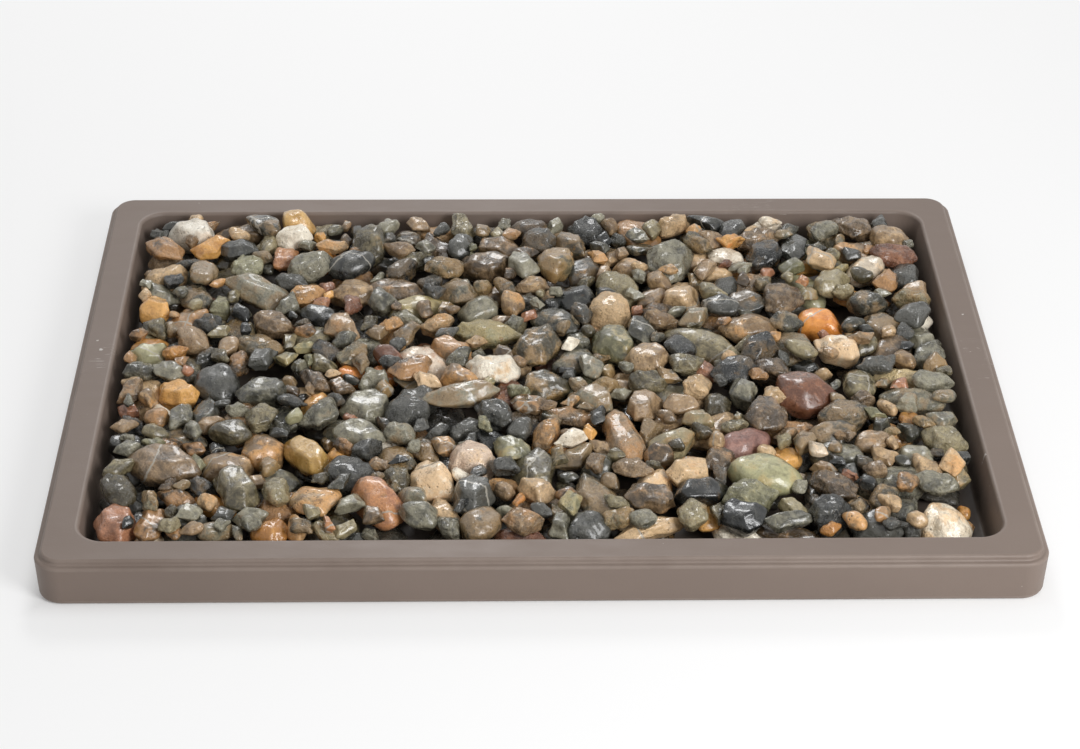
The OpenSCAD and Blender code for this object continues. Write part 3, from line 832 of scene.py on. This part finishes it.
    def dress(self, made: bpy.types.Object) -> None:
        """Gives the tray its plastic and its place in the frame.

        Args:
            made: The tray's object.
        """
        made.data.materials.append(TrayPlastic().build())
        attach(made, "tray")
        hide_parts("tray")


@dataclass(frozen=True)
class Portrait:
    """Looks of one pebble that stands out, from its own stone to how worn its edges and sides are."""

    stone: Stone
    # Its tone, warmth and manner, each from 0 to 1
    draw: Point
    crease: float
    lump_mm: float


PORTRAITS = {
    "cream_quartz_front_right": Portrait(
        replace(Kind.QUARTZ.value, name="square_cream_quartz", dark=(0.48, 0.39, 0.27),
                light=(0.80, 0.73, 0.60), stains=0.7, pits=1.0),
        draw=(0.62, 0.72, 0.55), crease=0.42, lump_mm=2.6),
    "orange_pebble_right": Portrait(
        replace(Kind.AMBER.value, name="orange_stone", dark=(0.42, 0.13, 0.022),
                light=(0.70, 0.29, 0.065), speckle=0.15, pits=0.15),
        draw=(0.6, 0.3, 0.1), crease=0.2, lump_mm=1.2),
    "golden_block_left": Portrait(
        replace(Kind.AMBER.value, name="ochre_stone", dark=(0.27, 0.150, 0.035),
                light=(0.50, 0.320, 0.105), pits=0.3),
        draw=(0.5, 0.35, 0.3), crease=0.46, lump_mm=1.2),
    "cream_quartz_middle_left": Portrait(
        replace(Kind.QUARTZ.value, name="brown_sided_quartz", dark=(0.46, 0.36, 0.27),
                light=(0.74, 0.64, 0.52), warm=(0.36, 0.185, 0.085), warmth=0.6),
        draw=(0.6, 0.5, 0.5), crease=0.32, lump_mm=3.2),
    "long_olive_pebble": Portrait(
        Kind.OLIVE.value, draw=(0.55, 0.3, 0.1), crease=0.2, lump_mm=1.2),
    "banded_slate_front_right": Portrait(
        replace(Kind.SLATE.value, name="banded_slate", band=1.0, band_mm=1.1),
        draw=(0.55, 0.35, 0.8), crease=0.25, lump_mm=1.6),
    "yellow_sandstone_right": Portrait(
        replace(Kind.SANDSTONE.value, name="yellow_sandstone", dark=(0.29, 0.205, 0.095),
                light=(0.62, 0.49, 0.27), pits=1.0),
        draw=(0.7, 0.4, 0.8), crease=0.25, lump_mm=1.6),
    "pale_green_pebble_front": Portrait(
        replace(Kind.SAGE.value, name="pale_green_stone", dark=(0.155, 0.145, 0.075),
                light=(0.36, 0.345, 0.195)),
        draw=(0.6, 0.6, 0.25), crease=0.24, lump_mm=1.6),
    "white_wedge_back_left": Portrait(
        replace(Kind.QUARTZ.value, name="white_quartz", dark=(0.54, 0.48, 0.39), light=(0.84, 0.80, 0.71),
                warm=(0.50, 0.44, 0.35), stain=(0.11, 0.10, 0.085)),
        draw=(0.75, 0.8, 0.3), crease=0.44, lump_mm=1.8),
    "upright_amber_back_left": Portrait(
        replace(Kind.AMBER.value, name="tan_amber_stone", dark=(0.33, 0.180, 0.050),
                light=(0.58, 0.370, 0.140)),
        draw=(0.6, 0.4, 0.35), crease=0.34, lump_mm=1.8),
    "rose_quartz_front": Portrait(
        replace(Kind.QUARTZ.value, name="rose_quartz", dark=(0.44, 0.30, 0.215),
                light=(0.74, 0.59, 0.46), pits=1.0),
        draw=(0.6, 0.6, 0.7), crease=0.3, lump_mm=2.6),
    "maroon_pebble_front_right": Portrait(
        replace(Kind.RUSSET.value, name="maroon_stone", dark=(0.105, 0.047, 0.038),
                light=(0.28, 0.150, 0.120), roughness=0.45),
        draw=(0.55, 0.3, 0.4), crease=0.24, lump_mm=1.6),
}


@dataclass
class PebbleShape:
    """How a flat-faced CAD pebble becomes a river pebble, by one Geometry Nodes tree for all of them."""

    # What holds the outermost pebbles in: the floor's height, the walls' reach from the middle at height 0,
    # and their run for each unit of height
    floor_mm: float
    wall_mm: Pair
    wall_lean: float
    # Growth to each side, which narrows the gaps that rounding leaves between the pebbles
    swell: Point = (1.13, 1.13, 1.03)
    # Range of the edges' sharpness
    crease: Pair = (0.25, 0.64)
    lump_mm: float = 2.6
    lump_pitch_mm: float = 6.5
    grit_mm: float = 0.3
    grit_pitch_mm: float = 1.7
    # Height of the ridges between the dents, as a share of the lumps' height, the dents' pitch in lumps,
    # and their pattern's shift against the lumps
    ridge: float = 0.12
    dent_pitch: float = 0.8
    dent_shift: Point = (9.0, 4.0, 2.0)
    # Manners over which a pebble turns from smooth to rough, the strength of the dents and of the grit on a
    # smooth one, and what a rough one adds to the grit
    rough_range: Pair = (0.3, 0.9)
    smooth_dents: float = 0.4
    smooth_grit: float = 0.3
    rough_grit: float = 2.0
    levels: int = 3
    seed: int = 11
    # How far the pattern of a pebble may be shifted, so that no two are alike
    drift_mm: float = 400.0

    # The tree's named inputs, by the type of their sockets
    INPUTS = {
        "NodeSocketGeometry": ("Geometry",),
        "NodeSocketInt": ("Levels", "Seed"),
        "NodeSocketVector": ("Swell", "Draw Low", "Draw High"),
        "NodeSocketFloat": ("Crease Low", "Crease High", "Lump Height", "Lump Pitch", "Grit Height", "Floor",
                            "Wall X", "Wall Y", "Wall Lean"),
        "NodeSocketMaterial": ("Stone",),
    }
    # Attributes that serve only inside the tree
    PASSING = ("heart", *WAYS, "drift", "bulk")

    def tree(self) -> tuple[bpy.types.NodeTree, dict[str, str]]:
        """Builds the tree.

        Returns:
            The tree, and the identifier of each named input.
        """
        tree = bpy.data.node_groups.new("river_pebbles", "GeometryNodeTree")
        names = {name: tree.interface.new_socket(name, in_out="INPUT", socket_type=kind).identifier
                 for kind, group in self.INPUTS.items() for name in group}
        tree.interface.new_socket("Geometry", in_out="OUTPUT", socket_type="NodeSocketGeometry")
        g = Graph(tree)
        given = tree.nodes.new("NodeGroupInput")
        ask = {name: Wire(g, given.outputs[name]) for name in names}
        shape = self._worn(g, ask, self._rounded(g, ask, self._drawn(g, ask)))
        for name in self.PASSING:
            shape = g.node("GeometryNodeRemoveAttribute", {}, {"Geometry": shape, "Name": name})
        shape = g.node("GeometryNodeSetShadeSmooth", {}, {"Geometry": shape})
        shape = g.node("GeometryNodeRealizeInstances", {}, {"Geometry": shape})
        shape = g.node("GeometryNodeSetMaterial", {}, {"Geometry": shape, "Material": ask["Stone"]})
        g.feed(tree.nodes.new("NodeGroupOutput"), 0, shape)
        return tree, names

    def _drawn(self, g: Graph, ask: dict[str, Wire]) -> Wire:
        """Gives each flat-faced pebble its own draw and drift, and notes its volume.

        Args:
            g: The tree's graph.
            ask: The tree's inputs.

        Returns:
            The mesh with these attributes.
        """
        draw = self._chance(g, ask["Draw Low"], ask["Draw High"], ask["Seed"])
        drift = self._chance(g, (-self.drift_mm,) * 3, (self.drift_mm,) * 3, ask["Seed"] + 2)
        shape = self._keep(g, ask["Geometry"], "draw", draw)
        shape = self._keep(g, shape, "drift", drift)
        return self._keep(g, shape, "bulk", self._volume(g), "FLOAT")

    def _rounded(self, g: Graph, ask: dict[str, Wire], shape: Wire) -> Wire:
        """Rounds the pebbles by subdivision, with edges worn unevenly, and gives them their volume back.

        Args:
            g: The tree's graph.
            ask: The tree's inputs.
            shape: The flat-faced mesh.

        Returns:
            The rounded mesh.
        """
        crease = self._chance(g, ask["Crease Low"], ask["Crease High"], ask["Seed"] + 1, "FLOAT")
        shape = g.node("GeometryNodeSubdivisionSurface", {},
                       {"Mesh": shape, "Level": ask["Levels"], "Edge Crease": crease})
        heart = self._named(g, "heart")
        growth = g.maths("POWER", self._named(g, "bulk", "FLOAT") / self._volume(g), 1 / 3)
        place = heart + (g.node("GeometryNodeInputPosition") - heart) * growth * ask["Swell"]
        return g.node("GeometryNodeSetPosition", {}, {"Geometry": shape, "Position": place})

    def _worn(self, g: Graph, ask: dict[str, Wire], shape: Wire) -> Wire:
        """Adds lumps and grit along the pebble's own ways, and holds it off the basin.

        Args:
            g: The tree's graph.
            ask: The tree's inputs.
            shape: The rounded mesh.

        Returns:
            The worn mesh.
        """
        shape = self._keep(g, shape, "grain", self._own_place(g))
        relief = g.node("GeometryNodeInputNormal") * self._lumps(g, ask) * MM
        shape = g.node("GeometryNodeSetPosition", {}, {"Geometry": shape, "Offset": relief})
        return g.node("GeometryNodeSetPosition", {}, {"Geometry": shape, "Position": self._kept_in(g, ask)})

    @staticmethod
    def _chance(g: Graph, low: Any, high: Any, seed: Wire, kind: str = "FLOAT_VECTOR") -> Wire:
        """A random value for each pebble.

        Args:
            g: The tree's graph.
            low: The least value.
            high: The greatest value.
            seed: The seed.
            kind: The type of the value.

        Returns:
            The value.
        """
        pebble = g.node("GeometryNodeInputMeshIsland", {}, {}, "Island Index")
        return g.node("FunctionNodeRandomValue", {"data_type": kind},
                      {"Min": low, "Max": high, "ID": pebble, "Seed": seed}, "Value")

    def _volume(self, g: Graph) -> Wire:
        """Volume of each pebble in cubic millimetres, summed over the cones on its faces."""
        arm = g.node("GeometryNodeInputPosition") - self._named(g, "heart")
        reach = g.dot(arm, g.node("GeometryNodeInputNormal"))
        share = reach * g.node("GeometryNodeInputMeshFaceArea") * (1 / MM ** 3 / 3)
        pebble = g.node("GeometryNodeInputMeshIsland", {}, {}, "Island Index")
        return g.node("GeometryNodeAccumulateField", {"data_type": "FLOAT", "domain": "FACE"},
                      {"Value": share, "Group ID": pebble}, "Total")

    def _own_place(self, g: Graph) -> Wire:
        """Each point's place in millimetres along its pebble's own ways, shifted so that none are alike."""
        arm = g.node("GeometryNodeInputPosition") - self._named(g, "heart")
        along = [g.dot(arm, self._named(g, way)) * (1 / MM) for way in WAYS]
        return g.node("ShaderNodeCombineXYZ", {}, dict(enumerate(along))) + self._named(g, "drift")

    def _lumps(self, g: Graph, ask: dict[str, Wire]) -> Wire:
        """Height in millimetres by which a point stands out: broad lumps, dents and grit.

        Args:
            g: The tree's graph.
            ask: The tree's inputs.

        Returns:
            The height.
        """
        grain = self._named(g, "grain")
        rough = self._named(g, "draw").part("z").rise(*self.rough_range)
        pitched = grain / ask["Lump Pitch"]
        lumps = g.noise(pitched, 1, detail=1.5, rough=0.45) - 0.5
        folds = g.noise(pitched + self.dent_shift, self.dent_pitch, detail=1, rough=0.5)
        dents = self.ridge - abs(folds - 0.5)
        grit = g.noise(grain, self.grit_pitch_mm, detail=2, rough=0.6) - 0.5
        return (lumps * ask["Lump Height"] + dents * ask["Lump Height"] * (self.smooth_dents + rough)
                + grit * ask["Grit Height"] * (self.smooth_grit + self.rough_grit * rough))

    @staticmethod
    def _kept_in(g: Graph, ask: dict[str, Wire]) -> Wire:
        """The point's place, held off the basin's floor and walls.

        Args:
            g: The tree's graph.
            ask: The tree's inputs.

        Returns:
            The place.
        """
        place = g.node("GeometryNodeInputPosition")
        z = g.maths("MAXIMUM", place.part("z"), ask["Floor"])
        sides = []
        for axis in ("x", "y"):
            limit = ask["Wall " + axis.upper()] + z * ask["Wall Lean"]
            sides.append(g.maths("MAXIMUM", g.maths("MINIMUM", place.part(axis), limit), 0 - limit))
        return g.node("ShaderNodeCombineXYZ", {}, dict(enumerate((*sides, z))))

    @staticmethod
    def _keep(g: Graph, shape: Wire, name: str, value: Wire, kind: str = "FLOAT_VECTOR") -> Wire:
        """Keeps a value on every point under a name.

        Args:
            g: The tree's graph.
            shape: The mesh.
            name: The attribute's name.
            value: The value.
            kind: Its type.

        Returns:
            The mesh with the attribute.
        """
        return g.node("GeometryNodeStoreNamedAttribute", {"data_type": kind, "domain": "POINT"},
                      {"Geometry": shape, "Name": name, "Value": value}, "Geometry")

    @staticmethod
    def _named(g: Graph, name: str, kind: str = "FLOAT_VECTOR") -> Wire:
        """Reads a value that every point keeps under a name."""
        return g.node("GeometryNodeInputNamedAttribute", {"data_type": kind}, {"Name": name}, "Attribute")


@dataclass
class PebbleBed:
    """All pebbles of the bed, as one dressed piece for each CAD node."""

    shape: PebbleShape
    materials: dict[str, bpy.types.Material] = field(default_factory=dict)
    seed_step: int = 10
    # Reach in metres within which a CAD mesh's corners are merged, and the bend in degrees of a flat face
    merge: float = 1e-6
    flat: float = 1.0

    def build(self) -> None:
        """Makes, dresses and places every piece."""
        tree, names = self.shape.tree()
        record = frame["record"]
        slots = {part["node"]: part["material_slot"] for part in record["subparts"]}
        homes = {node: body for body, nodes in record["behaviour"]["bodies"].items() for node in nodes}
        pebble_nodes = [node for node in sorted(frame["nodes"]) if node != "tray"]
        for number, node in enumerate(pebble_nodes):
            source = self._flat_faced(node)
            settings = self._settings(node, slots[node], number)
            piece = self._rounded(source, node, tree, {names[key]: value for key, value in settings.items()})
            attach(piece, homes[node])
            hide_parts(node)
            log.info("%s: %d faces", piece.name, len(piece.data.polygons))

    def _settings(self, node: str, slot: str, number: int) -> dict[str, Any]:
        """Inputs of the tree for one node.

        Args:
            node: The CAD node.
            slot: Its material slot.
            number: Its place in the list, which sets its seed.

        Returns:
            The value of each named input.
        """
        shape = self.shape
        hidden = slot == Kind.LOWER.value.name
        settings = {
            "Levels": shape.levels - hidden, "Seed": shape.seed + self.seed_step * number,
            "Swell": shape.swell, "Draw Low": (0.0,) * 3, "Draw High": (1.0,) * 3,
            "Crease Low": shape.crease[0], "Crease High": shape.crease[1],
            "Lump Height": shape.lump_mm, "Lump Pitch": shape.lump_pitch_mm, "Grit Height": shape.grit_mm,
            "Floor": shape.floor_mm * MM, "Wall X": shape.wall_mm[0] * MM, "Wall Y": shape.wall_mm[1] * MM,
            "Wall Lean": shape.wall_lean}
        if node in PORTRAITS:
            own = PORTRAITS[node]
            settings |= {"Draw Low": own.draw, "Draw High": own.draw, "Crease Low": own.crease,
                         "Crease High": own.crease, "Lump Height": own.lump_mm}
            return settings | {"Stone": self._material(own.stone)}
        stone = next(kind.value for kind in Kind if kind.value.name == slot)
        return settings | {"Stone": self._material(stone)}

    def _material(self, stone: Stone) -> bpy.types.Material:
        """The material of a stone, made once."""
        if stone.name not in self.materials:
            self.materials[stone.name] = stone.build()
        return self.materials[stone.name]

    def _flat_faced(self, node: str) -> bpy.types.Object:
        """Copies a CAD node as merged flat faces, with each pebble's middle and own three ways.

        Args:
            node: The CAD node.

        Returns:
            The copy.
        """
        shell = bmesh.new()
        shell.from_mesh(frame["nodes"][node].data)
        bmesh.ops.remove_doubles(shell, verts=shell.verts, dist=self.merge)
        bmesh.ops.dissolve_limit(shell, angle_limit=math.radians(self.flat), verts=shell.verts,
                                 edges=shell.edges)
        mesh = bpy.data.meshes.new("dressed_" + node)
        shell.verts.ensure_lookup_table()
        shell.verts.index_update()
        frames = np.zeros((4, len(shell.verts), 3))
        for pebble in self._pebbles(shell):
            corners = np.array([shell.verts[i].co for i in pebble])
            heart = (corners.min(0) + corners.max(0)) / 2
            ways = np.linalg.svd(corners - corners.mean(0), full_matrices=False)[2]
            frames[0, pebble] = heart
            for row, way in enumerate(ways):
                frames[row + 1, pebble] = way
        shell.to_mesh(mesh)
        shell.free()
        for name, values in zip(("heart", *WAYS), frames):
            mesh.attributes.new(name, "FLOAT_VECTOR", "POINT").data.foreach_set("vector", values.ravel())
        copy = bpy.data.objects.new("flat_" + node, mesh)
        bpy.context.scene.collection.objects.link(copy)
        return copy

    @staticmethod
    def _pebbles(shell: bmesh.types.BMesh) -> list[list[int]]:
        """Lists the vertices of each pebble.

        Args:
            shell: The merged shell of all pebbles of a node.

        Returns:
            A list of vertex indices for each pebble.
        """
        seen: set[int] = set()
        found = []
        for first in shell.verts:
            if first.index in seen:
                continue
            seen.add(first.index)
            stack, members = [first], []
            while stack:
                vert = stack.pop()
                members.append(vert.index)
                for edge in vert.link_edges:
                    other = edge.other_vert(vert)
                    if other.index not in seen:
                        seen.add(other.index)
                        stack.append(other)
            found.append(members)
        return found

    def _rounded(self, source: bpy.types.Object, node: str, tree: bpy.types.NodeTree,
                 values: dict[str, Any]) -> bpy.types.Object:
        """Runs the tree on a flat-faced copy and keeps the result as a plain mesh.

        Args:
            source: The flat-faced copy, which is used up.
            node: The CAD node that it stands for.
            tree: The Geometry Nodes tree.
            values: The value of each input, by its identifier.

        Returns:
            The dressed piece.
        """
        modifier = source.modifiers.new("river_pebbles", "NODES")
        modifier.node_group = tree
        for identifier, value in values.items():
            modifier[identifier] = value
        source.update_tag()
        graph = bpy.context.evaluated_depsgraph_get()
        graph.update()
        mesh = bpy.data.meshes.new_from_object(source.evaluated_get(graph), depsgraph=graph)
        source.modifiers.remove(modifier)
        flat = source.data
        bpy.data.objects.remove(source)
        bpy.data.meshes.remove(flat)
        mesh.name = "dressed_" + node
        piece = bpy.data.objects.new("dressed_" + node, mesh)
        bpy.context.scene.collection.objects.link(piece)
        return piece


# Studio


@dataclass(frozen=True)
class Lamp:
    """A soft square lamp that faces the tray. Its place and side are in metres, its power in watts."""

    name: str
    place: Point
    side: float
    power: float

    def hang(self) -> None:
        """Hangs the lamp."""
        data = bpy.data.lights.new(self.name, "AREA")
        data.shape = "SQUARE"
        data.size = self.side
        data.energy = self.power
        lamp = bpy.data.objects.new(self.name, data)
        lamp.location = self.place
        lamp.rotation_euler = (-Vector(self.place)).to_track_quat("-Z", "Y").to_euler()
        bpy.context.scene.collection.objects.link(lamp)


@dataclass
class Studio:
    """Pale floor, soft light and the camera at the photograph's angle."""

    # Half sides of the tray, and the reach round them of a painted shade, where the floor's white lift fades
    # out so that the floor shows darker near the tray besides keeping the tray's shadow
    tray_mm: Pair
    contact_shade_mm: float = 8
    floor_side: float = 12.0
    floor_colour: Colour = (0.89, 0.89, 0.89)
    # The floor's darker clouds, as a share of its colour, how much of them shows, and their pitch
    cloud_tone: float = 0.97
    clouds: float = 0.4
    cloud_mm: float = 300
    floor_roughness: float = 0.7
    # Share of white in the floor as it is seen, near the tray and far off, and where it rises
    shine: float = 0.5
    far_shine: float = 0.85
    near_mm: float = 400
    far_mm: float = 1000
    # Brightness of the surroundings as a light, and as they are seen
    sky: float = 0.46
    backdrop: float = 0.92
    lamps: tuple[Lamp, ...] = (Lamp("front_light", (0.44, -0.56, 0.46), 0.3, 4.8),
                               Lamp("back_light", (-0.05, 0.72, 0.66), 0.22, 2.6))
    # Fitted camera: focal length in pixels of an image 1080 wide, angles in radians, place in millimetres
    focal_px: float = 2680.98
    image_px: float = 1080
    pitch: float = 0.578491
    yaw: float = 0.025495
    roll: float = 0.010269
    place_mm: Point = (-19.49, -808.99, 539.16)
    sensor_mm: float = 36
    nearest: float = 0.01

    def build(self) -> None:
        """Makes the floor, the light and the camera."""
        self._floor()
        self._world()
        for lamp in self.lamps:
            lamp.hang()
        self._camera()
        bpy.context.scene.view_settings.view_transform = "Standard"
        log.info("studio ready")

    def _floor(self) -> None:
        """Makes the floor."""
        reach = self.floor_side / 2
        corners = [(-reach, -reach, 0), (reach, -reach, 0), (reach, reach, 0), (-reach, reach, 0)]
        floor = mesh_object("pale_floor", corners, [range(len(corners))])
        material, g = new_material("pale_floor")
        place = g.object_mm()
        cloud = g.noise(place, self.cloud_mm, detail=2).rise(*CLOUDY) * self.clouds
        colour = g.mix(cloud, self.floor_colour, tuple(c * self.cloud_tone for c in self.floor_colour))
        matte = g.node("ShaderNodeBsdfPrincipled", {}, {
            "Base Color": colour, "Roughness": self.floor_roughness}, "BSDF")
        white = g.node("ShaderNodeEmission", {}, {"Color": WHITE, "Strength": 1.0}, "Emission")
        # Painted shade: the white lift fades out near the tray, so a darker band runs round it
        beside = [abs(place.part(axis)) - side for axis, side in zip(("x", "y"), self.tray_mm)]
        clear_of_painted_shade = g.maths("MAXIMUM", *beside).rise(-self.contact_shade_mm, self.contact_shade_mm)
        far = place.size().rise(self.near_mm, self.far_mm)
        share = (far * (self.far_shine - self.shine) + self.shine) * clear_of_painted_shade
        both = g.node("ShaderNodeMixShader", {}, {0: self._seen(g) * share, 1: matte, 2: white}, "Shader")
        g.feed(g.tree.nodes.new("ShaderNodeOutputMaterial"), "Surface", both)
        floor.data.materials.append(material)

    def _world(self) -> None:
        """Makes the pale surroundings."""
        world = bpy.data.worlds.new("studio")
        world.use_nodes = True
        world.node_tree.nodes.clear()
        g = Graph(world.node_tree)
        strength = self._seen(g) * (self.backdrop - self.sky) + self.sky
        glow = g.node("ShaderNodeBackground", {}, {"Color": WHITE, "Strength": strength}, "Background")
        g.feed(g.tree.nodes.new("ShaderNodeOutputWorld"), "Surface", glow)
        bpy.context.scene.world = world

    @staticmethod
    def _seen(g: Graph) -> Wire:
        """Mask of the rays that show the background, straight or in a gloss."""
        rays = [g.node("ShaderNodeLightPath", {}, {}, name)
                for name in ("Is Camera Ray", "Is Glossy Ray", "Is Transmission Ray")]
        return sum(rays).rise(0, 1)

    def _camera(self) -> None:
        """Sets the fitted camera."""
        flat = Vector((math.sin(self.yaw), math.cos(self.yaw), 0))
        right = Vector((math.cos(self.yaw), -math.sin(self.yaw), 0))
        ahead = flat * math.cos(self.pitch) - Vector((0, 0, math.sin(self.pitch)))
        up = flat * math.sin(self.pitch) + Vector((0, 0, math.cos(self.pitch)))
        across = right * math.cos(self.roll) + up * math.sin(self.roll)
        over = up * math.cos(self.roll) - right * math.sin(self.roll)
        turn = Matrix((across, over, -ahead)).transposed().to_4x4()
        data = bpy.data.cameras.new("camera")
        data.sensor_fit = "HORIZONTAL"
        data.sensor_width = self.sensor_mm
        data.lens = self.sensor_mm * self.focal_px / self.image_px
        data.clip_start = self.nearest
        camera = bpy.data.objects.new("camera", data)
        camera.matrix_world = Matrix.Translation(Vector(self.place_mm) * MM) @ turn
        bpy.context.scene.collection.objects.link(camera)
        bpy.context.scene.camera = camera


def main() -> None:
    """Builds the tray, the bed and the studio in order."""
    logging.basicConfig(level=logging.INFO, format="%(name)s: %(message)s")
    tray = Tray()
    tray.dress(tray.build())
    walls = tuple(axis + tray.wall_at(0) - CLEARANCE_MM for axis in tray.inner)
    lean = math.tan(math.radians(tray.basin_lean))
    PebbleBed(PebbleShape(tray.wall + CLEARANCE_MM, walls, lean)).build()
    Studio(tray_mm=(tray.width / 2, tray.depth / 2)).build()


if __name__ == "__main__":
    main()
